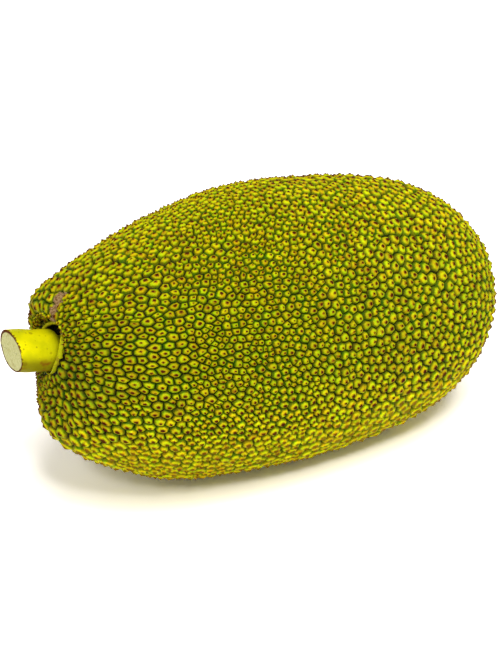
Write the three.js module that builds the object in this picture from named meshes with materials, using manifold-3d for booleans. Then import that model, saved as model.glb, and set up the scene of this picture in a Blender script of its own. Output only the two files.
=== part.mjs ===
// A whole jackfruit, as picked: the warty fruit body, the cut stalk it hung by, and the smooth
// collar round the stalk's root. It lies on a small flat spot, long axis along X, stalk towards -X.
// Units are millimetres, +Z is up, and the surface it lies on is Z = 0.
import * as THREE from 'three';
import { mergeVertices } from 'three/addons/utils/BufferGeometryUtils.js';
import Module from 'manifold-3d';

const wasm = await Module();
wasm.setup();

// ---- Driving dimensions of the fruit body, measured over the tips of its warts ----
const LENGTH = 382;
const RADIUS = 99; // half the width of the widest section
const WIDEST_AT = 200; // from the stalk end
const HEIGHT_TO_WIDTH = 1.038;
// Superellipse powers of the outline from each end to the widest section: a higher power is blunter.
const STALK_END = { along: 1.61, across: 3.83 };
const BLOSSOM_END = { along: 2.94, across: 2.23 };
const STALK_LIFT = 1.45; // degrees by which the stalk end rides higher than the blossom end
const FLAT_SPOT_DEPTH = 2.5;

// The stalk doesn't sit on the middle line: its root is above it, in a pit that is deep on one side
// only. deepSide is an angle from +Y through the top.
const ROOT_OFFSET = { y: 6.4, z: 21.9 };
const PIT = { depth: 10.9, radius: 28, steepness: 4, deepSide: 60 };

// Round the root the skin makes a seat for the stalk: a patch that slopes, and bends as a saddle.
const SEAT = {
  middle: { along: 3.3, y: 6.8, z: 21.3 },
  slope: { y: 0.146, z: 0.289 },
  saddle: { straight: -0.0045, twisted: -0.0065 }, // per mm
  radius: 20.5,
  fade: 7,
};

// Broad swellings, and hollows where height is negative. at is a share of the length from the
// stalk end, angle goes round the long axis from +Y through the top, reach is the spread.
// They fade out within POLE_RADIUS of the long axis, so that both ends stay smooth.
const POLE_RADIUS = 20;
const SWELLINGS = [
  { at: 0.036, angle: 42, reach: 52, height: -13.5 },
  { at: 0.24, angle: 274, reach: 30, height: 5.9 },
  { at: 0.371, angle: 92, reach: 61.5, height: 9.4 },
  { at: 0.796, angle: 130, reach: 63.5, height: -5.1 },
];

// Shoulders of the stalk end, which stand out towards -X on both sides of the pit. They fade out
// towards the widest section: the higher SHOULDER_FADE, the later.
const SHOULDER_FADE = 6;
const SHOULDERS = [
  { y: 21.3, z: 55.8, reach: 20.8, height: 15.6 },
  { y: -4.8, z: -30.1, reach: 19.8, height: 12.6 },
];

// ---- Stalk and collar ----
const STALK = {
  radius: 14.4,
  neckRadius: 10.2,
  neckDepth: 4.5, // from the middle of the seat in to the neck, the thinnest place
  shoulder: 7.5, // height over which the neck swells to full thickness
  fullness: 0.32, // how early in that height most of the swelling comes
  rootDepth: 8, // how far the root reaches into the fruit beyond the neck
  length: 32.5, // from the neck to the middle of the cut
  rise: 11, // degrees above the fruit's long axis
  swing: -5, // degrees towards +Y
  cutLean: { side: 0.1, up: -0.27 }, // slopes of the slanting cut
};
// The collar is a rounded lip, sunk into the skin. It stands crest above the wart tips, lifted off
// the stalk's centre, so that it hugs the stalk below and gapes above, where it runs to a peak.
// Opposite the peak it is thinner, by the share thinning, and lies lower, by sinking.
const COLLAR = {
  ringRadius: 17.4,
  halfWidth: 1.9,
  halfHeight: 4,
  crest: 1.8,
  lift: 1.1,
  peak: 1.5,
  peakAngle: 103, // degrees from +Y through the top
  peakSpread: 0.5, // radians either side of it
  thinning: 0.45,
  sinking: 2,
};
const MOAT_DEPTH = 3; // of the open groove inside the collar, below the stalk's neck
const GAP = 0.3; // clearance between pieces that touch

const AROUND_SEGMENTS = 72;
const ALONG_SEGMENTS = 48;
const RING_EASE = { stalk: 2.2, blossom: 1.1 }; // keeps the mesh rings evenly apart at both ends
const STALK_SEGMENTS = 40;
const NECK_SEGMENTS = 6;
const COLLAR_SEGMENTS = { across: 14, around: 56 };
const CUTTER_SIZE = 600;
const SOLVER_PASSES = 24;
const SEATING_PASSES = 3;
const WELD_DISTANCE = 1e-4;

const SKIN_COLOR = 0xa8a81c;
const STALK_COLOR = 0xd2c81e;
const COLLAR_COLOR = 0xb4b030;

const radians = THREE.MathUtils.degToRad;

function bell(squaredDistance, reach) {
  return Math.exp(-squaredDistance / (2 * reach * reach));
}

// The same angle, between -PI and PI.
function wrapped(angle) {
  return Math.atan2(Math.sin(angle), Math.cos(angle));
}

// How much the swellings add to the radius at a place along and round the fruit.
function swellingHeight(share, angle, radius) {
  let height = 0;
  for (const swelling of SWELLINGS) {
    const around = wrapped(angle - radians(swelling.angle)) * Math.max(radius, POLE_RADIUS);
    const along = (share - swelling.at) * LENGTH;
    height += swelling.height * bell(along * along + around * around, swelling.reach);
  }
  return height * Math.min(radius / POLE_RADIUS, 1);
}

// How far along the fruit the stalk's seat lies at y, z.
function seatAlong(y, z) {
  const { middle, slope, saddle } = SEAT;
  const across = y - middle.y;
  const up = z - middle.z;
  const bend = saddle.straight * (across ** 2 - up ** 2) + saddle.twisted * across * up;
  return middle.along + slope.y * across + slope.z * up + bend;
}

// The point of the fruit's surface at a latitude (0 at the stalk's root, PI at the blossom end)
// and an angle round the long axis, before the fruit is laid down.
function fruitPoint(latitude, angle) {
  const onStalkHalf = latitude < Math.PI / 2;
  const end = onStalkHalf ? STALK_END : BLOSSOM_END;
  const run = Math.abs(Math.cos(latitude)) ** (2 / end.along);
  const outline = RADIUS * Math.sin(latitude) ** (2 / end.across);
  let along = onStalkHalf ? WIDEST_AT * (1 - run) : WIDEST_AT + (LENGTH - WIDEST_AT) * run;
  const radius = Math.max(outline + swellingHeight(along / LENGTH, angle, outline), 0);
  const offset = onStalkHalf ? Math.max(1 - radius / RADIUS, 0) : 0;
  const y = radius * Math.cos(angle) + ROOT_OFFSET.y * offset;
  const z = radius * Math.sin(angle) * HEIGHT_TO_WIDTH + ROOT_OFFSET.z * offset;
  if (onStalkHalf) {
    const fade = 1 - Math.sin(latitude) ** SHOULDER_FADE;
    for (const lobe of SHOULDERS) {
      along -= fade * lobe.height * bell((y - lobe.y) ** 2 + (z - lobe.z) ** 2, lobe.reach);
    }
    const depth = (PIT.depth * (1 + Math.cos(angle - radians(PIT.deepSide)))) / 2;
    along += (fade * depth) / (1 + (radius / PIT.radius) ** PIT.steepness);
    const fromSeat = Math.hypot(y - SEAT.middle.y, z - SEAT.middle.z);
    const outside = THREE.MathUtils.smoothstep(fromSeat, SEAT.radius, SEAT.radius + SEAT.fade);
    along = THREE.MathUtils.lerp(seatAlong(y, z), along, outside);
  }
  return new THREE.Vector3(along - LENGTH / 2, y, z);
}

// Latitude of a mesh ring, spaced so that rings stay about evenly apart right up to the poles.
function easedLatitude(latitude) {
  const share = latitude / (Math.PI / 2);
  if (share <= 1) return (Math.PI / 2) * share ** RING_EASE.stalk;
  return Math.PI - (Math.PI / 2) * Math.max(2 - share, 0) ** RING_EASE.blossom;
}

function moveVertices(geometry, placeVertex) {
  const position = geometry.getAttribute('position');
  const vertex = new THREE.Vector3();
  for (let i = 0; i < position.count; i += 1) {
    vertex.fromBufferAttribute(position, i);
    const placed = placeVertex(vertex);
    position.setXYZ(i, placed.x, placed.y, placed.z);
  }
  return geometry;
}

function fruitEnvelope() {
  const sphere = new THREE.SphereGeometry(1, AROUND_SEGMENTS, ALONG_SEGMENTS);
  return moveVertices(sphere, (vertex) => {
    const latitude = easedLatitude(Math.acos(THREE.MathUtils.clamp(vertex.y, -1, 1)));
    return fruitPoint(latitude, Math.atan2(vertex.z, vertex.x));
  });
}

// The move that lays the fruit down as it lies: turned by the lift, flat spot at Z = 0.
function layingDown() {
  const turn = new THREE.Matrix4().makeRotationY(radians(STALK_LIFT));
  const turned = fruitEnvelope().applyMatrix4(turn);
  turned.computeBoundingBox();
  const drop = -(turned.boundingBox.min.z + FLAT_SPOT_DEPTH);
  return new THREE.Matrix4().makeTranslation(0, 0, drop).multiply(turn);
}

const LAID = layingDown();

function toSolid(geometry) {
  const bare = geometry.clone();
  bare.deleteAttribute('normal');
  bare.deleteAttribute('uv');
  const merged = mergeVertices(bare, WELD_DISTANCE);
  return new wasm.Manifold(
    new wasm.Mesh({
      numProp: 3,
      vertProperties: new Float32Array(merged.getAttribute('position').array),
      triVerts: new Uint32Array(merged.getIndex().array),
    }),
  );
}

function toGeometry(solid) {
  const mesh = solid.getMesh();
  const geometry = new THREE.BufferGeometry();
  geometry.setAttribute('position', new THREE.BufferAttribute(new Float32Array(mesh.vertProperties), 3));
  geometry.setIndex(new THREE.BufferAttribute(new Uint32Array(mesh.triVerts), 1));
  geometry.computeVertexNormals();
  return geometry;
}

// The surface point of the stalk end that lies at y, z when seen along the fruit's axis: first the
// angle round the root, then the latitude, halving the range until the two meet.
function stalkEndPoint(y, z) {
  let radius = 0;
  let angle = 0;
  for (let pass = 0; pass < SOLVER_PASSES; pass += 1) {
    const offset = 1 - radius / RADIUS;
    const across = y - ROOT_OFFSET.y * offset;
    const upwards = (z - ROOT_OFFSET.z * offset) / HEIGHT_TO_WIDTH;
    radius = Math.hypot(across, upwards);
    angle = Math.atan2(upwards, across);
  }
  const wanted = Math.hypot(y - ROOT_OFFSET.y, z - ROOT_OFFSET.z);
  let low = 0;
  let high = Math.PI / 2;
  for (let pass = 0; pass < SOLVER_PASSES; pass += 1) {
    const middle = (low + high) / 2;
    const point = fruitPoint(middle, angle);
    const fromRoot = Math.hypot(point.y - ROOT_OFFSET.y, point.z - ROOT_OFFSET.z);
    if (fromRoot < wanted) low = middle;
    else high = middle;
  }
  return fruitPoint(low, angle);
}

function stalkDirection() {
  const rise = radians(STALK.rise);
  const swing = radians(STALK.swing);
  return new THREE.Vector3(
    -Math.cos(swing) * Math.cos(rise),
    -Math.sin(swing) * Math.cos(rise),
    Math.sin(rise),
  );
}

// The stalk's neck, in the middle of its axis.
function stalkRoot() {
  const seat = stalkEndPoint(SEAT.middle.y, SEAT.middle.z);
  return seat.addScaledVector(stalkDirection(), -STALK.neckDepth);
}

// Radius of the collar's middle line at an angle round the stalk, its half width there, and how
// far from the peak (0) to the opposite side (1) the angle is.
function collarSection(angle) {
  const { ringRadius, halfWidth, peak, peakAngle, peakSpread, thinning } = COLLAR;
  const turn = wrapped(angle - radians(peakAngle));
  const opposite = (1 - Math.cos(turn)) / 2;
  const radius = ringRadius + peak * bell(turn ** 2, peakSpread);
  return { radius, width: halfWidth * (1 - thinning * opposite), opposite };
}

// The collar's ring, seated on the fruit's surface all round the stalk. swell thickens it.
function collarRing(swell) {
  const { ringRadius, halfHeight, crest, lift, sinking } = COLLAR;
  const root = stalkRoot();
  const direction = stalkDirection();
  const { across, around } = COLLAR_SEGMENTS;
  const torus = new THREE.TorusGeometry(ringRadius, 1, across, around);
  return moveVertices(torus, (vertex) => {
    const angle = Math.atan2(vertex.y, vertex.x);
    const outwards = Math.hypot(vertex.x, vertex.y) - ringRadius;
    const { radius, width, opposite } = collarSection(angle);
    const away = new THREE.Vector3(0, Math.cos(angle), Math.sin(angle));
    let seat = root;
    for (let pass = 0; pass < SEATING_PASSES; pass += 1) {
      const height = (seat.x - root.x) / direction.x;
      const middle = root.clone().addScaledVector(direction, height);
      seat = stalkEndPoint(middle.y + radius * away.y, middle.z + lift + radius * away.z);
    }
    seat.addScaledVector(away, outwards * (width + swell));
    const inwards = vertex.z * (halfHeight + swell) + halfHeight - crest + sinking * opposite;
    return seat.addScaledVector(direction, -inwards);
  }).applyMatrix4(LAID);
}

// Outline of the stalk from its root outwards: a neck that swells to full thickness.
function stalkOutline() {
  const { radius, neckRadius, shoulder, fullness, rootDepth, length } = STALK;
  const swelling = new THREE.SplineCurve([
    new THREE.Vector2(neckRadius, 0),
    new THREE.Vector2((neckRadius + 2 * radius) / 3, shoulder * fullness),
    new THREE.Vector2(radius, shoulder),
  ]);
  const top = length + radius;
  return [
    new THREE.Vector2(0, -rootDepth),
    new THREE.Vector2(neckRadius, -rootDepth),
    ...swelling.getPoints(NECK_SEGMENTS),
    new THREE.Vector2(radius, top),
    new THREE.Vector2(0, top),
  ];
}

// A round hole along the stalk's own axis, from depth below the neck to beyond the cut.
function roundHole(radius, depth) {
  const height = depth + STALK.length + STALK.radius;
  const hole = new THREE.CylinderGeometry(radius, radius, height, STALK_SEGMENTS);
  return hole.translate(0, height / 2 - depth, 0);
}

// The tight hole for the stalk's root.
function rootHole() {
  return toSolid(roundHole(STALK.neckRadius + GAP, STALK.rootDepth + GAP).applyMatrix4(stalkPlace()));
}

// The wider, shallow hole inside the collar, which leaves an open groove round the neck.
function moat() {
  const hole = moveVertices(roundHole(1, MOAT_DEPTH), (vertex) => {
    const { radius } = collarSection(Math.atan2(vertex.x, -vertex.z));
    return vertex.set(vertex.x * radius + COLLAR.lift, vertex.y, vertex.z * radius);
  });
  return toSolid(hole.applyMatrix4(stalkPlace()));
}

// The stalk's own frame: origin at its neck, Y along the stalk, X upwards.
function stalkPlace() {
  const direction = stalkDirection();
  const up = new THREE.Vector3(0, 0, 1).addScaledVector(direction, -direction.z).normalize();
  const side = new THREE.Vector3().crossVectors(up, direction);
  const place = new THREE.Matrix4().makeBasis(up, direction, side).setPosition(stalkRoot());
  return place.premultiply(LAID);
}

// The slanting cut, as a big block whose lower face lies on the cut, in the stalk's own frame.
function cutBlock() {
  const { side, up } = STALK.cutLean;
  const block = new THREE.BoxGeometry(CUTTER_SIZE, CUTTER_SIZE, CUTTER_SIZE);
  block.translate(0, CUTTER_SIZE / 2, 0);
  const slope = new THREE.Vector3(up, 1, side).normalize();
  const turn = new THREE.Quaternion().setFromUnitVectors(new THREE.Vector3(0, 1, 0), slope);
  block.applyQuaternion(turn);
  return block.translate(0, STALK.length, 0);
}

function stalk() {
  const blank = toSolid(new THREE.LatheGeometry(stalkOutline(), STALK_SEGMENTS));
  const geometry = toGeometry(blank.subtract(toSolid(cutBlock())));
  const material = new THREE.MeshStandardMaterial({ color: STALK_COLOR, roughness: 0.55, metalness: 0 });
  const mesh = new THREE.Mesh(geometry, material);
  mesh.name = 'stalk';
  stalkPlace().decompose(mesh.position, mesh.quaternion, mesh.scale);
  return mesh;
}

function stalkCollar() {
  const material = new THREE.MeshStandardMaterial({ color: COLLAR_COLOR, roughness: 0.6, metalness: 0 });
  const geometry = toGeometry(toSolid(collarRing(0)));
  const mesh = new THREE.Mesh(geometry, material);
  mesh.name = 'stalk_collar';
  return mesh;
}

function fruitBody() {
  const floor = new THREE.BoxGeometry(2 * CUTTER_SIZE, CUTTER_SIZE, CUTTER_SIZE);
  floor.translate(0, 0, -CUTTER_SIZE / 2);
  const body = toSolid(fruitEnvelope().applyMatrix4(LAID))
    .subtract(toSolid(floor))
    .subtract(rootHole())
    .subtract(moat())
    .subtract(toSolid(collarRing(GAP)));
  const material = new THREE.MeshStandardMaterial({ color: SKIN_COLOR, roughness: 0.65, metalness: 0 });
  const mesh = new THREE.Mesh(toGeometry(body), material);
  mesh.name = 'fruit_body';
  return mesh;
}

const jackfruit = new THREE.Group();
jackfruit.add(fruitBody(), stalk(), stalkCollar());

// The origin is under the middle of the whole object, on the surface it lies on.
const extent = new THREE.Box3().setFromObject(jackfruit, true);
jackfruit.position.set(-(extent.min.x + extent.max.x) / 2, -(extent.min.y + extent.max.y) / 2, 0);

export default jackfruit;
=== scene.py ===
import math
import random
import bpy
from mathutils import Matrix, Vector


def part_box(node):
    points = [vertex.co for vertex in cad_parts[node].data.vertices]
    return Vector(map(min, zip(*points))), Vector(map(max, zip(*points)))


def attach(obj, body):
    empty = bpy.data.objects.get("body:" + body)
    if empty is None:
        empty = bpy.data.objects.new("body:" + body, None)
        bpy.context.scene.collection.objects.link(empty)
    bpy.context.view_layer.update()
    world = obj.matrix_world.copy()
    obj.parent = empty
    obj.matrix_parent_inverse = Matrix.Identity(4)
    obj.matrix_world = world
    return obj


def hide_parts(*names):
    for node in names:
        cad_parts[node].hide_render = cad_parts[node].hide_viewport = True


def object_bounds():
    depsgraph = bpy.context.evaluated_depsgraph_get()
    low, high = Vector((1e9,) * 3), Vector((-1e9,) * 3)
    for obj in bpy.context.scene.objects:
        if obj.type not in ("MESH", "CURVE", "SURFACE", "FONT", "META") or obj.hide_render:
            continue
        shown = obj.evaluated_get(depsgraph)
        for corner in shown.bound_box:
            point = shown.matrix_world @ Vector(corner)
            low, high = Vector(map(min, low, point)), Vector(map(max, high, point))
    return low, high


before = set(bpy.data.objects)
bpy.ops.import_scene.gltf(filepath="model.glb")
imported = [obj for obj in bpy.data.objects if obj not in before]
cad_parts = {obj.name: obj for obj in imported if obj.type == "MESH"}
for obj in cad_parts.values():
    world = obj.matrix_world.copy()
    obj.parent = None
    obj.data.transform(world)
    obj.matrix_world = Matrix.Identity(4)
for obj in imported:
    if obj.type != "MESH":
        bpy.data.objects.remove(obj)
# A whole jackfruit, lying on its side: the warty rind, the cut stalk and the collar round its root.
# Metres, +Z up, in the CAD's frame: the long axis runs along X, and the stalk points towards -X.
from types import SimpleNamespace

import bmesh
import bpy
import numpy as np
from mathutils import Matrix, Vector, noise
from mathutils.bvhtree import BVHTree

cad_low, cad_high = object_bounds()
RANDOM_SEED = 7
UP = Vector((0, 0, 1))

# ---- Warts ----
# Least distance between two tips, at some distances from the stalk's root.
WART_GAPS = [
    (0.04, 0.0062), (0.08, 0.0045), (0.13, 0.0035), (0.17, 0.0038),
    (0.22, 0.0049), (0.28, 0.0059), (0.39, 0.0063),
]
BELLY_GAP = SimpleNamespace(share=0.38, low=0.02, high=0.11)  # how much wider it is low down, and where
WART_HEIGHT = 0.0052     # from the bottom of a groove to the tip
HEIGHT_RANGE = (0.82, 1.12)  # some lower and some higher than that
CORK_FLATTENING = 0.6    # how much lower the warts are on the corky streak
TIP_LIFT = 0.0015        # how far the tips stand out of the CAD's surface
LIFT_RANGE = (0.5, 1.5)  # some less and some more than that
CANDIDATES = 110000      # places tried for a tip
EVENING_ROUNDS = 28      # rounds of smoothing that make the warts more alike in size
EVENING_STRENGTH = 0.5
CORNER_WANDER = 0.00035  # how far the grooves' corners stray, which makes the warts' outlines uneven
CORNER_ROUNDNESS = 0.3   # 0 puts a corner evenly far from its three tips, 1 at their middle
TIP_WANDER = 0.20        # how far off the middle a tip may stand, as a share of the wart's radius
# Rings of a wart from the groove inwards: share of the way to the tip, and depth below the tip.
WART_RINGS = [(0.22, 0.50), (0.60, 0.25)]
# Near the stalk, warts are crowded towards it and drawn out: by 1 + CROWDING at the root itself,
# falling off over CROWDING_REACH. Below the stalk they are large, and at the collar is a ring of small ones.
CROWDING = 2.1
CROWDING_REACH = 0.037
DRAWN_RANGE = 0.5        # more than the fruit's length
DRAWN_SAMPLES = 2000
DRAWING_STEPS = 6
SMALL_RING = SimpleNamespace(share=0.35, distance=0.0415, half_width=0.0070)
BIG_PATCH = SimpleNamespace(share=1.05, offset=Vector((0.010, -0.036, -0.018)), reach=0.032)
# Painted shade round the stalk, deepest below it, fades out between these two distances, and is weaker above
# the stalk.
STALK_SHADE_REACH = (0.022, 0.090)
WEAKER_ABOVE = SimpleNamespace(share=0.5, height=0.03)
# Painted light brightens the skin most underneath, as bounce light, and less on top, as overhead light. These
# are the shares of that on top, and at the blossom end.
PAINTED_LIGHT_ON_TOP = 0.55
PAINTED_LIGHT_TOWARDS_STALK = 0.7  # of what it is on top elsewhere
PAINTED_LIGHT_AT_BLOSSOM_END = 0.22
# Where the shoulder round the stalk swells out or dips in: the middle, from the stalk's root, and how far.
SHOULDER_SWELLS = [(Vector((0.004, 0.025, 0.020)), 0.0013), (Vector((0.003, 0.031, -0.035)), -0.0020)]
SWELL_REACH = 0.018
SWELL_FADE = 0.008       # the width of the strip outside the collar in which they fade out

# ---- Round the stalk ----
ROOT_DEPTH = 0.008       # how far the stalk's root reaches below its neck
COLLAR_SINK = 0.0022     # how far the middle of the collar lies below the skin round it
COLLAR_PARTS = 36        # directions round the collar in which its rim is measured
MOAT_DEPTH = 0.004
MOAT_WALL = 0.0045       # how far inside the collar's outer edge the rind is down on the moat's floor
CLEARANCE = 0.0005       # a little more than the CAD's gap between the collar and the rind
RIND_EDGE = (-0.001, 0.0012)  # from inside to outside the collar's edge, where the warts come up
MERGE_DISTANCE = 1e-6
# The corky streak that runs up from the collar's peak, as seen along the stalk.
CORK = SimpleNamespace(
    foot=Vector((0, -0.0095, 0.0155)), lean=math.radians(-5), length=0.031, half_width=0.0030, sway=0.0007,
    raggedness=0.4, taper=0.35, foot_fade=0.003,
)


def smooth_step(low, high, value):
    share = np.clip((value - low) / (high - low), 0, 1)
    return share * share * (3 - 2 * share)


def merged_copy(node):
    """The CAD node's surface as one closed mesh."""
    surface = bmesh.new()
    surface.from_mesh(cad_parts[node].data)
    bmesh.ops.remove_doubles(surface, verts=surface.verts, dist=MERGE_DISTANCE)
    return surface


def measured_stalk():
    """The stalk's sizes, its slanting cut, and its own frame: Z along it from its neck, X upwards."""
    surface = merged_copy("stalk")
    bmesh.ops.dissolve_limit(surface, angle_limit=math.radians(1), verts=surface.verts, edges=surface.edges)
    root = max((f for f in surface.faces if f.normal.x > 0.5), key=lambda f: f.calc_area())
    cut = max((f for f in surface.faces if f.normal.x < -0.5), key=lambda f: f.calc_area())
    direction = -root.normal
    neck = sum((v.co for v in root.verts), Vector()) / len(root.verts) + ROOT_DEPTH * direction
    upwards = (UP - UP.dot(direction) * direction).normalized()
    place = Matrix((upwards, direction.cross(upwards), direction)).transposed().to_4x4()
    place.translation = neck
    from_axis = [(v.co - neck).cross(direction).length for v in surface.verts]
    heights = [(v.co - neck).dot(direction) for v in surface.verts]
    radius = max(from_axis)
    found = SimpleNamespace(
        neck=neck,
        direction=direction,
        place=place,
        radius=radius,
        neck_radius=min(from_axis),
        shoulder=min(height for height, away in zip(heights, from_axis) if away > 0.99 * radius),
        top=max(heights),
        cut_middle=cut.calc_center_median(),
        cut_normal=cut.normal.copy(),
    )
    surface.free()
    return found


STALK = measured_stalk()
COLLAR_MIDDLE = sum(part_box("stalk_collar"), Vector()) / 2
SEAT = COLLAR_MIDDLE + COLLAR_SINK * STALK.direction


def across_stalk(point, origin):
    """The part of the way from origin to point that runs square to the stalk."""
    offset = point - origin
    return offset - offset.dot(STALK.direction) * STALK.direction


def round_collar(point):
    """The angle round the collar at which a point lies, and how far it is from its middle."""
    offset = across_stalk(point, COLLAR_MIDDLE)
    return math.atan2(offset.z, offset.y) % (2 * math.pi), offset.length


def measured_rim():
    """Angles round the collar, how far out its edge is at each, and how high its crest stands there."""
    surface = merged_copy("stalk_collar")
    edge = [0.0] * COLLAR_PARTS
    crest = [-math.inf] * COLLAR_PARTS
    for vertex in surface.verts:
        angle, distance = round_collar(vertex.co)
        part = int(angle / (2 * math.pi) * COLLAR_PARTS) % COLLAR_PARTS
        edge[part] = max(edge[part], distance)
        crest[part] = max(crest[part], (vertex.co - SEAT).dot(STALK.direction))
    surface.free()
    return [2 * math.pi * (part + 0.5) / COLLAR_PARTS for part in range(COLLAR_PARTS)], edge, crest


RIM_ANGLES, RIM_EDGE, RIM_CREST = measured_rim()


def beyond_collar(point):
    """How far a point near the stalk lies outside the collar's outer edge, below 0 when inside it."""
    angle, distance = round_collar(point)
    return distance - float(np.interp(angle, RIM_ANGLES, RIM_EDGE, period=2 * math.pi))


def below_crest(point):
    """How far a point near the stalk lies below the collar's crest."""
    angle, _ = round_collar(point)
    crest = float(np.interp(angle, RIM_ANGLES, RIM_CREST, period=2 * math.pi))
    return crest - (point - SEAT).dot(STALK.direction)


def cork_share(point):
    """1 along the middle of the corky streak, falling to 0 at its edges and ends."""
    if (point - SEAT).length > 3 * CORK.length:
        return 0.0
    offset = across_stalk(point, COLLAR_MIDDLE + CORK.foot)
    towards = Vector((0, -math.sin(CORK.lean), math.cos(CORK.lean)))
    along = offset.dot(towards)
    aside = (offset - along * towards).dot(towards.cross(STALK.direction))
    aside += CORK.sway * math.sin(along / CORK.half_width)
    half_width = CORK.half_width * (1 + CORK.raggedness * noise.noise(point * 300))
    half_width *= 1 - CORK.taper * along / CORK.length
    across = 1 - smooth_step(0.5 * half_width, half_width, abs(aside))
    ends = smooth_step(-CORK.foot_fade, 0, along) * (1 - smooth_step(0.75 * CORK.length, CORK.length, along))
    return float(across * ends)


def bare_fruit():
    """The fruit's outer form with the stalk's hole and the collar's groove closed over."""
    surface = merged_copy("fruit_body")
    near = []
    for face in surface.faces:
        middle = face.calc_center_median()
        if (middle - SEAT).length < 2 * STALK.radius and beyond_collar(middle) < CLEARANCE:
            near.append(face)
    bmesh.ops.delete(surface, geom=near, context="FACES")
    rim = [e for e in surface.edges if e.is_boundary]
    cover = bmesh.ops.contextual_create(surface, geom=rim)["faces"]
    for vertex in bmesh.ops.poke(surface, faces=cover)["verts"]:
        vertex.co = SEAT
    bmesh.ops.triangulate(surface, faces=surface.faces)
    bmesh.ops.recalc_face_normals(surface, faces=surface.faces)
    return surface


def wart_places(surface, chance):
    """Places on the surface for the warts' tips, none closer to another than the gap there."""
    triangles = np.array([[v.co[:] for v in f.verts] for f in surface.faces])
    sides = np.cross(triangles[:, 1] - triangles[:, 0], triangles[:, 2] - triangles[:, 0])
    areas = np.linalg.norm(sides, axis=1)
    picked = chance.choice(len(areas), CANDIDATES, p=areas / areas.sum())
    a, b = chance.random((2, CANDIDATES))
    flipped = a + b > 1
    a[flipped], b[flipped] = 1 - a[flipped], 1 - b[flipped]
    corners = triangles[picked]
    first, second = corners[:, 1] - corners[:, 0], corners[:, 2] - corners[:, 0]
    points = corners[:, 0] + a[:, None] * first + b[:, None] * second
    from_seat = np.linalg.norm(points - np.array(SEAT), axis=1)
    from_patch = np.linalg.norm(points - np.array(SEAT + BIG_PATCH.offset), axis=1)
    gaps = np.interp(from_seat, *zip(*WART_GAPS))
    gaps *= 1 + BELLY_GAP.share * (1 - smooth_step(BELLY_GAP.low, BELLY_GAP.high, points[:, 2]))
    gaps *= 1 + BIG_PATCH.share * np.exp(-((from_patch / BIG_PATCH.reach) ** 2))
    gaps *= 1 - SMALL_RING.share * np.exp(-(((from_seat - SMALL_RING.distance) / SMALL_RING.half_width) ** 2))
    box_size = gaps.max()
    boxes = {}
    kept = []
    for point, gap in zip(points, gaps):
        key = tuple((point // box_size).astype(int))
        close = [
            other
            for x in (-1, 0, 1) for y in (-1, 0, 1) for z in (-1, 0, 1)
            for other in boxes.get((key[0] + x, key[1] + y, key[2] + z), ())
        ]
        if not close or ((np.array(close) - point) ** 2).sum(axis=1).min() > gap ** 2:
            boxes.setdefault(key, []).append(point)
            kept.append(Vector(point))
    return kept


def draw_in(net, fruit_tree):
    """Moves points along the surface towards the stalk, as far as the crowding there asks."""
    after = np.linspace(0, DRAWN_RANGE, DRAWN_SAMPLES)
    before = after * (1 + CROWDING * np.exp(-after / CROWDING_REACH))
    for vertex in net.verts:
        distance = (vertex.co - SEAT).length
        if distance < MERGE_DISTANCE:
            continue
        step = (float(np.interp(distance, before, after)) / distance) ** (1 / DRAWING_STEPS)
        for number in range(DRAWING_STEPS):
            offset = vertex.co - SEAT
            wanted = distance * step ** (number + 1)
            vertex.co = fruit_tree.find_nearest(SEAT + offset * wanted / offset.length)[0]


def corner_between(tips):
    """Where the grooves between three tips meet: about as far from one as from another."""
    a, b, c = tips
    middle = (a + b + c) / 3
    ab, ac = b - a, c - a
    across = ab.cross(ac)
    even = a + (across.cross(ab) * ac.length_squared + ac.cross(across) * ab.length_squared) / (
        2 * across.length_squared
    )
    longest = max((tip - middle).length for tip in tips)
    offset = even - middle
    if offset.length > 0.7 * longest:
        offset *= 0.7 * longest / offset.length
    return middle + offset * (1 - CORNER_ROUNDNESS)


def net_of_tips(base, fruit_tree):
    """A net of triangles over the whole fruit, with a wart's tip at every knot."""
    net = bmesh.new()
    middle = (cad_low + cad_high) / 2
    seeds = {}
    for place in wart_places(base, np.random.default_rng(RANDOM_SEED)):
        seeds[net.verts.new((place - middle).normalized())] = place
    bmesh.ops.convex_hull(net, input=net.verts)
    for vertex, place in seeds.items():
        vertex.co = place
    bmesh.ops.delete(net, geom=[v for v in net.verts if not v.link_faces], context="VERTS")
    for _ in range(EVENING_ROUNDS):
        bmesh.ops.beautify_fill(net, faces=net.faces, edges=net.edges, method="ANGLE")
        bmesh.ops.smooth_vert(
            net, verts=net.verts, factor=EVENING_STRENGTH, use_axis_x=True, use_axis_y=True, use_axis_z=True
        )
        for vertex in net.verts:
            vertex.co = fruit_tree.find_nearest(vertex.co)[0]
    bmesh.ops.beautify_fill(net, faces=net.faces, edges=net.edges, method="ANGLE")
    bmesh.ops.recalc_face_normals(net, faces=net.faces)
    return net


def turn_into_cells(net, fruit_tree):
    """Swaps the net's knots and meshes, so that each wart gets a many-sided cell round its tip."""
    tips = list(net.verts)
    joins = list(net.edges)
    corners = bmesh.ops.poke(net, faces=net.faces, center_mode="MEAN")["verts"]
    places = [
        corner_between([edge.other_vert(corner).co for edge in corner.link_edges]) for corner in corners
    ]
    bmesh.ops.rotate_edges(net, edges=joins, use_ccw=False)
    bmesh.ops.dissolve_verts(net, verts=tips)
    wander = random.Random(RANDOM_SEED)
    for corner, place in zip(corners, places):
        place += Vector([wander.gauss(0, CORNER_WANDER) for _ in range(3)])
        if corner.is_valid:
            corner.co = fruit_tree.find_nearest(place)[0]


def sink_under_collar(net):
    """Lowers the net's middle to a flat floor, which the collar and the stalk's root cover."""
    for vertex in net.verts:
        if (vertex.co - SEAT).length > 3 * STALK.radius:
            continue
        share = float(smooth_step(-MOAT_WALL, 0, beyond_collar(vertex.co)))
        sideways = across_stalk(vertex.co, STALK.neck)
        along = (vertex.co - STALK.neck).dot(STALK.direction)
        vertex.co = STALK.neck + sideways + (along * share - MOAT_DEPTH * (1 - share)) * STALK.direction


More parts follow.
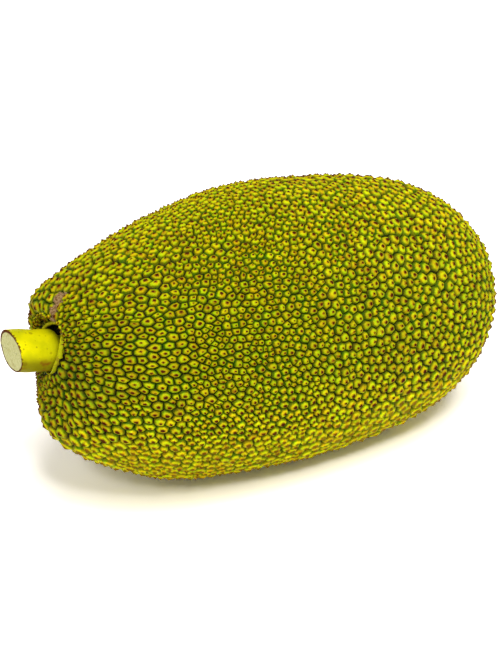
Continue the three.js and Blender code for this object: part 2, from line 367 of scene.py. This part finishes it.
def shape_shoulder(net):
    """Swells and dips round the stalk, which fade out at the collar."""
    net.normal_update()
    for vertex in net.verts:
        if (vertex.co - SEAT).length > 6 * STALK.radius:
            continue
        clear = float(smooth_step(0, SWELL_FADE, beyond_collar(vertex.co)))
        moves = [
            height * math.exp(-(((vertex.co - SEAT - offset).length / SWELL_REACH) ** 2))
            for offset, height in SHOULDER_SWELLS
        ]
        vertex.co += clear * sum(moves) * vertex.normal


def bare_share(point):
    """0 where the collar covers the rind, 1 clear of it."""
    if (point - SEAT).length > 3 * STALK.radius:
        return 1.0
    return float(smooth_step(*RIND_EDGE, beyond_collar(point)))


def painted_light_share(place, normal):
    """How much painted light brightens the skin: most of all underneath, less so on top, and a little at the
    blossom end.
    """
    under = smooth_step(-0.1, 0.55, -normal.z)
    from_stalk_end = PAINTED_LIGHT_TOWARDS_STALK + (1 - PAINTED_LIGHT_TOWARDS_STALK) * smooth_step(-0.12, 0.0, place.x)
    over = smooth_step(0.3, 0.95, normal.z) * from_stalk_end
    far = smooth_step(-0.05, 0.18, place.x)
    return float(under + PAINTED_LIGHT_ON_TOP * over + PAINTED_LIGHT_AT_BLOSSOM_END * far)


def painted_shade_near_stalk(point):
    """Painted shade round the stalk: 1 at the collar, falling to 0 further out, and less above the stalk than
    below it.
    """
    offset = point - SEAT
    weaker = 1 - WEAKER_ABOVE.share * smooth_step(0.0, WEAKER_ABOVE.height, offset.z)
    return float(weaker * (1 - smooth_step(*STALK_SHADE_REACH, offset.length)))


def grow_warts(net):
    """Raises a many-sided pyramid on each cell of the net, and marks what its skin is like and where painted
    light and painted shade fall on it.
    """
    chance = random.Random(RANDOM_SEED)
    crown = net.verts.layers.float.new("crown")
    cork = net.verts.layers.float.new("cork")
    near_stalk = net.verts.layers.float.new("near_stalk")
    painted_light = net.verts.layers.float.new("painted_light")
    wart = net.faces.layers.int.new("wart")
    cells = []
    for number, face in enumerate(net.faces):
        face[wart] = number
        middle = face.calc_center_median_weighted()
        radius = math.sqrt(face.calc_area() / math.pi)
        angle = chance.uniform(0, 2 * math.pi)
        off_middle = radius * TIP_WANDER * math.sqrt(chance.random())
        first = face.normal.orthogonal().normalized()
        second = face.normal.cross(first)
        tip = middle + off_middle * (math.cos(angle) * first + math.sin(angle) * second)
        shown = bare_share(middle)
        height = WART_HEIGHT * shown * (1 - CORK_FLATTENING * cork_share(middle))
        height *= chance.uniform(*HEIGHT_RANGE)
        lift = TIP_LIFT * chance.uniform(*LIFT_RANGE) * shown * face.normal
        corners = [loop.vert.co + lift for loop in face.loops]
        cells.append(SimpleNamespace(
            face=face, tip=tip + lift, normal=face.normal.copy(), height=height, shown=shown, corners=corners
        ))
    grooves = []
    for vertex in net.verts:
        # The paleness values are painted light: brighter underneath, on top and at the blossom end.
        vertex[painted_light] = painted_light_share(vertex.co, vertex.normal)
        around = [cells[f[wart]] for f in vertex.link_faces]
        depth = sum(cell.height - TIP_LIFT * cell.shown for cell in around) / len(around)
        grooves.append((vertex, vertex.co - depth * vertex.normal))
    faces = [cell.face for cell in cells]
    for share, depth in WART_RINGS:
        bmesh.ops.inset_individual(net, faces=faces, thickness=1e-4, use_even_offset=False)
        for cell in cells:
            for corner, loop in zip(cell.corners, cell.face.loops):
                loop.vert.co = corner.lerp(cell.tip, share) - depth * cell.height * cell.normal
                loop.vert[crown] = share * cell.shown
                loop.vert[painted_light] = painted_light_share(cell.tip, cell.normal)
    for vertex in bmesh.ops.poke(net, faces=faces)["verts"]:
        cell = cells[vertex.link_faces[0][wart]]
        vertex.co = cell.tip
        vertex[crown] = cell.shown
        vertex[painted_light] = painted_light_share(cell.tip, cell.normal)
    for vertex, place in grooves:
        vertex.co = place
        vertex[crown] = 0
    for vertex in net.verts:
        vertex[cork] = cork_share(vertex.co)
        # near_stalk holds painted shade round and below the stalk; it also makes the tip dots larger there.
        vertex[near_stalk] = painted_shade_near_stalk(vertex.co)
        vertex.co.z = max(vertex.co.z, 0)


def values_of(items, name, kind, width=1):
    """One value, or width values, for each item of a mesh."""
    values = np.empty(len(items) * width, kind)
    items.foreach_get(name, values)
    return values.reshape(-1, width) if width > 1 else values


def wart_of_corners(mesh):
    """The number of the wart that each corner of each face belongs to."""
    number = values_of(mesh.attributes["wart"].data, "value", np.int32)
    return np.repeat(number, values_of(mesh.polygons, "loop_total", np.int32))


def write_wart_tones(mesh):
    """Gives every wart its own chance values, the same on all of its faces."""
    number = wart_of_corners(mesh)
    tones = np.random.default_rng(RANDOM_SEED).random((number.max() + 1, 4)).astype(np.float32)
    tones[:, 3] = 1
    layer = mesh.attributes.new("wart_tone", "FLOAT_COLOR", "CORNER")
    layer.data.foreach_set("color", tones[number].ravel())


# ---- The rind's bake map ----
BAND_REACH = (cad_low.x + 0.055, cad_high.x - 0.050)  # where the band round the middle starts and ends
MAP_EDGE = 0.015         # bare margin of each part of the map
BAND_FOOT = 0.40         # how far up the map the band starts, above the two discs
DISC_SIZE = BAND_FOOT - 2 * MAP_EDGE


def fitted(places, left):
    """Places fitted into a square of the map, with its left side there."""
    low, high = places.min(axis=0), places.max(axis=0)
    return np.array([left, MAP_EDGE]) + (places - low) / (high - low).max() * DISC_SIZE


def write_bake_map(mesh):
    """Lays the rind out flat: a band round its middle, and a disc for each end, cut between whole warts."""
    number = wart_of_corners(mesh)
    corners = values_of(mesh.vertices, "co", np.float32, 3)[values_of(mesh.loops, "vertex_index", np.int32)]
    away = corners - np.array([0, 0, (cad_low.z + cad_high.z) / 2])
    middles = np.stack([np.bincount(number, axis) / np.bincount(number) for axis in away.T], axis=1)[number]
    home = np.arctan2(middles[:, 2], middles[:, 1]) % (2 * np.pi)
    turn = home + (np.arctan2(away[:, 2], away[:, 1]) - home + np.pi) % (2 * np.pi) - np.pi
    low, high = BAND_REACH
    along = (away[:, 0] - low) / (high - low)
    room = 1 - BAND_FOOT - 2 * MAP_EDGE
    flat = np.stack([
        MAP_EDGE + (1 - 2 * MAP_EDGE) * turn / (2 * np.pi),
        BAND_FOOT + MAP_EDGE + room * along,
    ], axis=1)
    for end, left in ((middles[:, 0] < low, MAP_EDGE), (middles[:, 0] > high, BAND_FOOT + MAP_EDGE)):
        flat[end] = fitted(away[end][:, 1:], left)
    layer = mesh.uv_layers.new(name="OFBake")
    layer.uv.foreach_set("vector", flat.astype(np.float32).ravel())


def finished_piece(name, shape, materials):
    """An object in the scene, made of a bmesh shape that is used up, with these materials."""
    mesh = bpy.data.meshes.new(name)
    shape.to_mesh(mesh)
    shape.free()
    for material in materials:
        mesh.materials.append(material)
    mesh.polygons.foreach_set("use_smooth", [True] * len(mesh.polygons))
    piece = bpy.data.objects.new(name, mesh)
    bpy.context.scene.collection.objects.link(piece)
    return piece


# ---- Stalk and collar ----
STALK_SIDES = 72
STALK_STEP = 0.0022      # height of one ring of the stalk's mesh
BARK_THICKNESS = 0.0009
BARK_LIP = 0.0014        # how much thicker the bark's cut edge is on its upper side
CUT_RINGS = 5
CUT_SINK = 0.0002        # how far the flesh has shrunk back from the bark's edge
CUT_ROUGHNESS = 0.00025
STALK_FULLNESS = 2.8     # how quickly the neck swells to full thickness


def stalk_outline():
    """Radius and height of points up the stalk's side: a neck that swells to full thickness."""
    heights = np.arange(-0.75 * ROOT_DEPTH, STALK.top + STALK.radius, STALK_STEP)
    swelling = 1 - (1 - np.clip(heights / STALK.shoulder, 0, 1)) ** STALK_FULLNESS
    radii = STALK.neck_radius + (STALK.radius - STALK.neck_radius) * swelling
    return list(zip(radii, heights))


def spun(outline, sides):
    """A shape turned round Z from its outline, a list of radius and height, with both ends closed."""
    shape = bmesh.new()
    points = [(0, outline[0][1]), *outline, (0, outline[-1][1])]
    verts = [shape.verts.new((radius, 0, height)) for radius, height in points]
    edges = [shape.edges.new(pair) for pair in zip(verts, verts[1:])]
    bmesh.ops.spin(
        shape, geom=verts + edges, cent=(0, 0, 0), axis=(0, 0, 1), angle=2 * math.pi, steps=sides,
        use_merge=True,
    )
    bmesh.ops.remove_doubles(shape, verts=shape.verts, dist=MERGE_DISTANCE)
    bmesh.ops.recalc_face_normals(shape, faces=shape.faces)
    return shape


def rough_up(shape, coarse, fine):
    """Moves every point a little in or out, by broad swells and by small unevenness."""
    shape.normal_update()
    moves = [
        coarse * noise.noise(vertex.co * 90) + fine * noise.noise(vertex.co * 700) for vertex in shape.verts
    ]
    for vertex, move in zip(shape.verts, moves):
        vertex.co += move * vertex.normal


def cut_off(shape):
    """Cuts the stalk along its slanting cut, and leaves rings for the bark's edge and the face inside it."""
    everything = list(shape.verts) + list(shape.edges) + list(shape.faces)
    cut = bmesh.ops.bisect_plane(
        shape, geom=everything, plane_co=STALK.cut_middle, plane_no=STALK.cut_normal, clear_outer=True
    )["geom_cut"]
    rim = [item for item in cut if isinstance(item, bmesh.types.BMEdge)]
    face = bmesh.ops.contextual_create(shape, geom=rim)["faces"][0]
    face.normal_update()
    if face.normal.dot(STALK.cut_normal) < 0:
        face.normal_flip()
    face.material_index = 1
    bmesh.ops.inset_individual(shape, faces=[face], thickness=BARK_THICKNESS, use_even_offset=True)
    middle = face.calc_center_median()
    for vertex in face.verts:
        offset = vertex.co - middle
        upper = max(0.0, offset.normalized().z) ** 2
        vertex.co -= BARK_LIP * upper * offset.normalized() + CUT_SINK * STALK.cut_normal
    face.material_index = 2
    for ring in range(CUT_RINGS, 1, -1):
        bmesh.ops.inset_individual(shape, faces=[face], thickness=1e-4, use_even_offset=False)
        for vertex in face.verts:
            vertex.co = middle.lerp(vertex.co, (ring - 1) / ring)
    bmesh.ops.poke(shape, faces=[face])
    inner = {v for f in shape.faces if f.material_index == 2 for v in f.verts}
    for vertex in inner:
        vertex.co += CUT_ROUGHNESS * noise.noise(vertex.co * 400) * STALK.cut_normal


def write_stalk_values(shape):
    """Marks how near each point is to the cut, to the root and to the stalk's underside."""
    cut = shape.verts.layers.float.new("near_cut")
    root = shape.verts.layers.float.new("root_painted_shade")
    underside = shape.verts.layers.float.new("underside")
    into_stalk = STALK.place.inverted()
    for vertex in shape.verts:
        below_cut = (STALK.cut_middle - vertex.co).dot(STALK.cut_normal)
        upwards, _, height = into_stalk @ vertex.co
        vertex[cut] = 1 - float(smooth_step(0, 0.006, below_cut))
        # Painted shade darkens the stalk near its root and on its underside; the underside also takes stains.
        vertex[root] = 1 - float(smooth_step(0.003, 0.013, height))
        vertex[underside] = 1 - float(smooth_step(-0.35 * STALK.radius, 0.2 * STALK.radius, upwards))


def make_stalk():
    """The cut stalk, from its root in the rind to its slanting cut."""
    shape = spun(stalk_outline(), STALK_SIDES)
    bmesh.ops.transform(shape, matrix=STALK.place, verts=shape.verts)
    rough_up(shape, coarse=0.0007, fine=0.00006)
    cut_off(shape)
    write_stalk_values(shape)
    stalk = finished_piece("cut_stalk", shape, [stalk_skin_finish(), bark_edge_finish(), cut_face_finish()])
    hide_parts("stalk")
    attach(stalk, "root")


def make_collar():
    """The lip round the stalk: the CAD's ring, made finer and uneven like grown skin."""
    shape = merged_copy("stalk_collar")
    bmesh.ops.subdivide_edges(shape, edges=shape.edges, cuts=1, smooth=0.6, use_grid_fill=True)
    rough_up(shape, coarse=0.0006, fine=0.00025)
    inner = shape.verts.layers.float.new("inner_edge_painted_light")
    inside = shape.verts.layers.float.new("groove_painted_shade")
    cork = shape.verts.layers.float.new("cork")
    for vertex in shape.verts:
        # Painted light along the collar's inner edge and crest.
        vertex[inner] = 1 - float(smooth_step(-0.0032, -0.0008, beyond_collar(vertex.co)))
        # Painted shade: nearly black down the groove between the collar and the stalk.
        vertex[inside] = vertex[inner] * float(smooth_step(0.0005, 0.0022, below_crest(vertex.co)))
        vertex[cork] = cork_share(vertex.co)
    collar = finished_piece("collar_lip", shape, [collar_finish()])
    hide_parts("stalk_collar")
    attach(collar, "root")


def make_rind():
    """The whole warty skin, one closed piece that runs on under the collar and the stalk's root."""
    base = bare_fruit()
    fruit_tree = BVHTree.FromBMesh(base)
    net = net_of_tips(base, fruit_tree)
    base.free()
    turn_into_cells(net, fruit_tree)
    draw_in(net, fruit_tree)
    shape_shoulder(net)
    sink_under_collar(net)
    net.normal_update()
    grow_warts(net)
    rind = finished_piece("rind", net, [rind_finish()])
    write_wart_tones(rind.data)
    write_bake_map(rind.data)
    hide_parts("fruit_body")
    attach(rind, "root")


# ---- Materials ----
class Nodes:
    """A node tree being made, with short ways to add what a pattern needs."""

    def __init__(self, tree, place):
        self.tree = tree
        self.place = place

    def set(self, socket, value):
        """Links a socket to another node's output, or sets its plain value."""
        if isinstance(value, bpy.types.NodeSocket):
            self.tree.links.new(value, socket)
        elif socket.type == "RGBA" and len(value) == 3:
            socket.default_value = (*value, 1)
        else:
            socket.default_value = value

    def add(self, kind, inputs=(), **settings):
        node = self.tree.nodes.new(kind)
        for name, value in settings.items():
            setattr(node, name, value)
        for key, value in dict(inputs).items():
            self.set(node.inputs[key], value)
        return node

    def attribute(self, name, output="Fac"):
        return self.add("ShaderNodeAttribute", attribute_name=name).outputs[output]

    def noise(self, scale, detail=2.0, roughness=0.5, place=None):
        inputs = {"Vector": place or self.place, "Scale": scale, "Detail": detail, "Roughness": roughness}
        return self.add("ShaderNodeTexNoise", inputs).outputs["Fac"]

    def math(self, operation, a, b=0.0):
        return self.add("ShaderNodeMath", {0: a, 1: b}, operation=operation).outputs[0]

    def times(self, a, b):
        return self.math("MULTIPLY", a, b)

    def between(self, value, low, high, to_low=0.0, to_high=1.0):
        """Maps low..high to to_low..to_high with soft ends."""
        inputs = {"Value": value, "From Min": low, "From Max": high, "To Min": to_low, "To Max": to_high}
        return self.add("ShaderNodeMapRange", inputs, interpolation_type="SMOOTHSTEP").outputs["Result"]

    def mix(self, share, first, second, blend="MIX"):
        node = self.add("ShaderNodeMix", data_type="RGBA", blend_type=blend)
        colours = [socket for socket in node.inputs if socket.type == "RGBA"]
        self.set(node.inputs["Factor"], share)
        self.set(colours[0], first)
        self.set(colours[1], second)
        return next(socket for socket in node.outputs if socket.type == "RGBA")

    def ramp(self, value, stops):
        node = self.add("ShaderNodeValToRGB", {"Fac": value})
        elements = node.color_ramp.elements
        while len(elements) < len(stops):
            elements.new(0.5)
        for element, (position, colour) in zip(elements, stops):
            element.position = position
            element.color = (*colour, 1)
        return node.outputs["Color"]

    def group(self, group, **inputs):
        """Places a shared group. Its inputs are given by name, with _ for a space."""
        named = {name.replace("_", " "): value for name, value in inputs.items()}
        return self.add("ShaderNodeGroup", {"Vector": self.place, **named}, node_tree=group).outputs[0]


class Finish(Nodes):
    """A material being made."""

    def __init__(self, name, roughness, specular):
        self.material = bpy.data.materials.new(name)
        self.material.use_nodes = True
        super().__init__(self.material.node_tree, None)
        self.place = self.add("ShaderNodeTexCoord").outputs["Object"]
        self.shader = self.tree.nodes["Principled BSDF"]
        self.shader.inputs["Roughness"].default_value = roughness
        self.shader.inputs["Specular IOR Level"].default_value = specular

    def bump(self, height, distance, strength=1.0):
        inputs = {"Height": height, "Distance": distance, "Strength": strength}
        self.set(self.shader.inputs["Normal"], self.add("ShaderNodeBump", inputs).outputs["Normal"])

    def colour(self, value):
        self.set(self.shader.inputs["Base Color"], value)


def shared_group(name, inputs):
    """A shader group with these named inputs and one Color output, ready for its nodes."""
    group = bpy.data.node_groups.new(name, "ShaderNodeTree")
    kinds = {"Color": "NodeSocketColor", "Vector": "NodeSocketVector", "Number": "NodeSocketFloat"}
    for title, kind in inputs.items():
        group.interface.new_socket(title, in_out="INPUT", socket_type=kinds[kind])
    group.interface.new_socket("Color", in_out="OUTPUT", socket_type=kinds["Color"])
    given = group.nodes.new("NodeGroupInput").outputs
    result = group.nodes.new("NodeGroupOutput").inputs["Color"]
    return Nodes(group, given["Vector"]), given, result


def stain_group():
    """Soft, ragged patches of a stain over a colour. Cover is about the share they take."""
    nodes, given, result = shared_group("ragged_stain", {
        "Vector": "Vector", "Color": "Color", "Stain": "Color", "Scale": "Number", "Cover": "Number",
        "Amount": "Number",
    })
    field = nodes.noise(given["Scale"], 3, 0.62)
    edge = nodes.math("SUBTRACT", 0.72, nodes.times(given["Cover"], 0.44))
    mask = nodes.between(field, nodes.math("SUBTRACT", edge, 0.05), nodes.math("ADD", edge, 0.07))
    share = nodes.times(mask, given["Amount"])
    nodes.set(result, nodes.mix(share, given["Color"], given["Stain"]))
    return nodes.tree


def speck_group():
    """Small round specks over a colour, one to a cell of the pattern, on a share of the cells."""
    nodes, given, result = shared_group("fine_specks", {
        "Vector": "Vector", "Color": "Color", "Speck": "Color", "Scale": "Number", "Share": "Number",
        "Amount": "Number",
    })
    cells = nodes.add("ShaderNodeTexVoronoi", {"Vector": given["Vector"], "Scale": given["Scale"]})
    chance = nodes.add("ShaderNodeSeparateColor", {"Color": cells.outputs["Color"]}).outputs
    size = nodes.between(chance["Green"], 0, 1, 0.16, 0.36)
    inside = nodes.between(nodes.math("SUBTRACT", size, cells.outputs["Distance"]), -0.04, 0.08)
    chosen = nodes.math("LESS_THAN", chance["Red"], given["Share"])
    mask = nodes.times(nodes.times(inside, chosen), given["Amount"])
    nodes.set(result, nodes.mix(mask, given["Color"], given["Speck"]))
    return nodes.tree


STAIN = stain_group()
SPECKS = speck_group()
CORK_LIGHT = (0.40, 0.25, 0.13)
CORK_MIDDLE = (0.27, 0.16, 0.06)
CORK_DARK = (0.10, 0.045, 0.014)
# A wart's skin from the bottom of its groove, at 0, up to its tip, at 1. The near-black at the bottom is
# painted shade over the groove's darker green.
WART_SKIN_AND_GROOVE_SHADE = [
    (0.0, (0.005, 0.0045, 0.0003)),
    (0.06, (0.014, 0.0135, 0.0004)),
    (0.16, (0.095, 0.110, 0.0007)),
    (0.30, (0.30, 0.320, 0.001)),
    (0.48, (0.55, 0.570, 0.0015)),
    (1.0, (0.65, 0.630, 0.002)),
]
SLOPE_GREEN = (0.065, 0.130, 0.001)
RUST = (0.22, 0.060, 0.003)
TIP_RING = (0.30, 0.105, 0.002)
TIP_DOT = (0.065, 0.007, 0.0008)


def with_cork(finish, skin):
    """Lays the corky streak over a skin, as far as the piece's cork values say."""
    ragged = finish.noise(900, 3, 0.7)
    cork = finish.ramp(ragged, [(0.36, CORK_DARK), (0.5, CORK_MIDDLE), (0.62, CORK_LIGHT)])
    share = finish.math("ADD", finish.attribute("cork"), finish.between(ragged, 0.35, 0.65, -0.35, 0.2))
    return finish.mix(finish.between(share, 0.25, 0.55), skin, cork)


def rind_finish():
    """Yellow-green warts with painted shade in their dark grooves, and a red-brown dot with a paler ring on
    each tip.
    """
    finish = Finish("waxy_rind", roughness=0.6, specular=0.05)
    tone = finish.add("ShaderNodeSeparateColor", {"Color": finish.attribute("wart_tone", "Color")}).outputs
    grain = finish.noise(1100, 2)
    crown = finish.attribute("crown")
    near = finish.attribute("near_stalk")
    # pale is painted light, brightest underneath, less on top and a little at the blossom end.
    pale = finish.attribute("painted_light")
    share = finish.math("ADD", crown, finish.between(grain, 0.3, 0.7, -0.04, 0.04))
    # Painted light also lifts the ramp towards its brighter colours, shifts the hue and fades the tip dots.
    share = finish.math("ADD", share, finish.between(pale, 0.7, 1.1, 0, 0.05))
    skin = finish.ramp(share, WART_SKIN_AND_GROOVE_SHADE)
    slope = finish.times(finish.between(share, 0.42, 0.20), finish.between(share, 0.03, 0.12))
    skin = finish.group(
        STAIN, Color=skin, Stain=SLOPE_GREEN, Scale=60, Cover=0.42, Amount=finish.times(slope, 0.75)
    )
    # Painted light: the paleness value brightens the skin.
    lighter = finish.math("ADD", finish.times(pale, 0.56), 1)
    # Painted shade: the near_stalk value darkens the skin round and below the stalk.
    lighter = finish.math("SUBTRACT", lighter, finish.times(near, 0.36))
    greener = finish.between(finish.noise(260, 2), 0.3, 0.7, 0.452, 0.548)
    skin = finish.add("ShaderNodeHueSaturation", {
        "Hue": finish.math("SUBTRACT", greener, finish.times(pale, 0.016)),
        "Value": finish.times(finish.between(tone["Red"], 0, 1, 0.78, 1.06), lighter),
        "Color": skin,
    }).outputs["Color"]
    rusty = finish.between(share, 0.25, 0.7, 0.0, 0.75)
    skin = finish.group(STAIN, Color=skin, Stain=RUST, Scale=110, Cover=0.26, Amount=rusty)
    tip_edge = finish.between(tone["Green"], 0, 1, 0.86, 0.72)
    tip_edge = finish.math("SUBTRACT", tip_edge, finish.times(near, 0.06))
    tip_edge = finish.math("SUBTRACT", tip_edge, finish.times(pale, 0.10))
    strength = finish.between(pale, 0.7, 1.1, 1.0, 0.6)
    from_tip = finish.math("SUBTRACT", share, tip_edge)
    ring = finish.times(finish.between(from_tip, -0.24, 0.02), finish.times(strength, 0.85))
    skin = finish.mix(ring, skin, TIP_RING)
    dot = finish.times(finish.between(from_tip, -0.07, 0.07), strength)
    skin = finish.mix(dot, skin, TIP_DOT)
    finish.colour(with_cork(finish, skin))
    finish.bump(grain, 0.0003, 0.4)
    return finish.material


def stalk_skin_finish():
    """Bright yellow, darkened by painted shade at the root and underneath, with specks and a few stains."""
    finish = Finish("stalk_skin", roughness=0.48, specular=0.04)
    grain = finish.noise(700, 3, 0.6)
    skin = finish.ramp(finish.noise(70, 3), [(0.32, (0.60, 0.58, 0.0015)), (0.66, (0.88, 0.79, 0.001))])
    root = finish.attribute("root_painted_shade")
    underside = finish.attribute("underside")
    # Painted shade: darker near the root, by the collar, and along the underside.
    skin = finish.mix(finish.times(root, 0.6), skin, (0.17, 0.18, 0.002))
    skin = finish.mix(finish.times(underside, 0.84), skin, (0.24, 0.21, 0.002))
    skin = finish.group(SPECKS, Color=skin, Speck=(0.27, 0.21, 0.002), Scale=420, Share=0.45, Amount=0.6)
    skin = finish.group(SPECKS, Color=skin, Speck=(0.20, 0.13, 0.002), Scale=210, Share=0.2, Amount=0.5)
    skin = finish.group(
        STAIN, Color=skin, Stain=(0.26, 0.07, 0.004), Scale=90, Cover=0.25,
        Amount=finish.times(underside, 0.7),
    )
    cut = finish.math("ADD", finish.attribute("near_cut"), finish.between(grain, 0.3, 0.7, -0.12, 0.12))
    skin = finish.mix(finish.between(cut, 0.92, 1.0), skin, (0.13, 0.035, 0.003))
    finish.colour(skin)
    finish.bump(grain, 0.0004, 0.35)
    return finish.material


def bark_edge_finish():
    """The bark's cut edge, dried dark brown."""
    finish = Finish("bark_edge", roughness=0.75, specular=0.05)
    grain = finish.noise(1200, 3)
    finish.colour(finish.ramp(grain, [(0.35, (0.055, 0.012, 0.002)), (0.65, (0.17, 0.055, 0.008))]))
    finish.bump(finish.noise(1500, 3), 0.0003, 0.5)
    return finish.material


def cut_face_finish():
    """Pale flesh with faint fibres, drawn out the way the knife went."""
    finish = Finish("cut_flesh", roughness=0.7, specular=0.05)
    drawn = finish.add("ShaderNodeMapping", {
        "Vector": finish.place, "Rotation": (0, 0, math.radians(35)), "Scale": (1, 5, 1.3),
    }).outputs["Vector"]
    fibres = finish.noise(420, 4, 0.65, place=drawn)
    flesh = finish.ramp(fibres, [
        (0.34, (0.48, 0.48, 0.15)),
        (0.50, (0.74, 0.71, 0.31)),
        (0.66, (0.84, 0.80, 0.45)),
    ])
    flesh = finish.group(STAIN, Color=flesh, Stain=(0.46, 0.36, 0.10), Scale=160, Cover=0.25, Amount=0.45)
    finish.colour(flesh)
    finish.bump(fibres, 0.0004, 0.4)
    return finish.material


def collar_finish():
    """Smooth skin, with painted light along its inner edge and painted shade, nearly black, down in the
    groove.
    """
    finish = Finish("collar_skin", roughness=0.55, specular=0.06)
    grain = finish.noise(800, 3, 0.6)
    # Painted light: the lip is brighter towards its inner edge.
    share = finish.math("ADD", finish.attribute("inner_edge_painted_light"), finish.between(grain, 0.3, 0.7, -0.2, 0.2))
    skin = finish.ramp(share, [
        (0.0, (0.40, 0.41, 0.002)),
        (0.45, (0.64, 0.60, 0.003)),
        (0.85, (0.85, 0.76, 0.004)),
    ])
    skin = finish.group(STAIN, Color=skin, Stain=(0.22, 0.13, 0.01), Scale=220, Cover=0.3, Amount=0.6)
    skin = finish.group(SPECKS, Color=skin, Speck=(0.12, 0.08, 0.003), Scale=600, Share=0.3, Amount=0.6)
    # Painted shade down in the groove.
    skin = finish.mix(finish.attribute("groove_painted_shade"), skin, (0.015, 0.010, 0.001))
    finish.colour(with_cork(finish, skin))
    finish.bump(grain, 0.0004, 0.4)
    return finish.material


make_rind()
make_stalk()
make_collar()


# ---- Stage ----
FLOOR_COLOUR = 0.95
FLOOR_SEEN = (1.74, 1.66, 1.58)  # the floor's colour to the camera, which shows it white where it is lit
FLOOR_SIZE = 10
WORLD_STRENGTH = 0.30
# Each lamp's name, power, spread, azimuth and rise, with the angles in degrees.
LAMPS = [
    ("overhead_softbox", 1.28, 22, 20, 62),
    ("front_right_lamp", 0.71, 8, 24, 47),
    ("front_left_lamp", 0.70, 8, 47, 39),
    ("low_fill", 0.30, 30, 10, 8),
]


def pale_floor():
    """A floor that lights the fruit as pale paper does, and that the camera sees white but for shadows."""
    material = bpy.data.materials.new("pale_floor")
    material.use_nodes = True
    nodes = material.node_tree.nodes
    links = material.node_tree.links
    nodes.remove(nodes["Principled BSDF"])
    plain = nodes.new("ShaderNodeBsdfDiffuse")
    plain.inputs["Color"].default_value = (FLOOR_COLOUR, FLOOR_COLOUR, FLOOR_COLOUR, 1)
    seen = nodes.new("ShaderNodeBsdfDiffuse")
    seen.inputs["Color"].default_value = (*FLOOR_SEEN, 1)
    choose = nodes.new("ShaderNodeMixShader")
    links.new(seen_directly(nodes, links), choose.inputs["Fac"])
    links.new(plain.outputs["BSDF"], choose.inputs[1])
    links.new(seen.outputs["BSDF"], choose.inputs[2])
    links.new(choose.outputs["Shader"], nodes["Material Output"].inputs["Surface"])
    return material


def seen_directly(nodes, links):
    """1 for rays from the camera and for those that a mirror or glass passes on, else 0."""
    path = nodes.new("ShaderNodeLightPath")
    total = path.outputs["Is Camera Ray"]
    for kind in ("Is Glossy Ray", "Is Transmission Ray"):
        either = nodes.new("ShaderNodeMath")
        either.operation = "MAXIMUM"
        links.new(total, either.inputs[0])
        links.new(path.outputs[kind], either.inputs[1])
        total = either.outputs["Value"]
    return total


def studio_world(strength):
    """White surroundings, which light the fruit with this strength and which the camera sees as white."""
    world = bpy.data.worlds.new("studio")
    world.use_nodes = True
    nodes = world.node_tree.nodes
    links = world.node_tree.links
    level = nodes.new("ShaderNodeMapRange")
    level.inputs["To Min"].default_value = strength
    level.inputs["To Max"].default_value = 1
    links.new(seen_directly(nodes, links), level.inputs["Value"])
    nodes["Background"].inputs["Color"].default_value = (1, 1, 1, 1)
    links.new(level.outputs["Result"], nodes["Background"].inputs["Strength"])
    bpy.context.scene.world = world


def lamp(name, power, spread, azimuth, rise):
    """A far, soft lamp. Azimuth is measured as the camera's is, and rise is above the horizon."""
    light = bpy.data.lights.new(name, "SUN")
    light.energy = power
    light.angle = math.radians(spread)
    turn, lift = math.radians(azimuth), math.radians(rise)
    towards = Vector((-math.sin(turn) * math.cos(lift), -math.cos(turn) * math.cos(lift), math.sin(lift)))
    obj = bpy.data.objects.new(name, light)
    obj.rotation_euler = towards.to_track_quat("Z", "Y").to_euler()
    bpy.context.scene.collection.objects.link(obj)


def make_stage():
    shape = bmesh.new()
    bmesh.ops.create_grid(shape, x_segments=1, y_segments=1, size=FLOOR_SIZE)
    floor = finished_piece("floor", shape, [pale_floor()])
    studio_world(WORLD_STRENGTH)
    for settings in LAMPS:
        lamp(*settings)


CAMERA_YAW = math.radians(35.9)
CAMERA_RISE = math.radians(24.06)
CAMERA_DISTANCE = 1.1
LOOK_AT = Vector((-0.0157, -0.0039, 0.1001))
LENS = 80.5


def make_camera():
    data = bpy.data.cameras.new("camera")
    data.lens = LENS
    data.sensor_width = 36
    data.clip_end = 50
    camera = bpy.data.objects.new("camera", data)
    back = Vector((
        -math.sin(CAMERA_YAW) * math.cos(CAMERA_RISE),
        -math.cos(CAMERA_YAW) * math.cos(CAMERA_RISE),
        math.sin(CAMERA_RISE),
    ))
    camera.location = LOOK_AT + CAMERA_DISTANCE * back
    camera.rotation_euler = back.to_track_quat("Z", "Y").to_euler()
    bpy.context.scene.collection.objects.link(camera)
    bpy.context.scene.camera = camera


make_stage()
make_camera()
bpy.context.scene.view_settings.view_transform = "Standard"
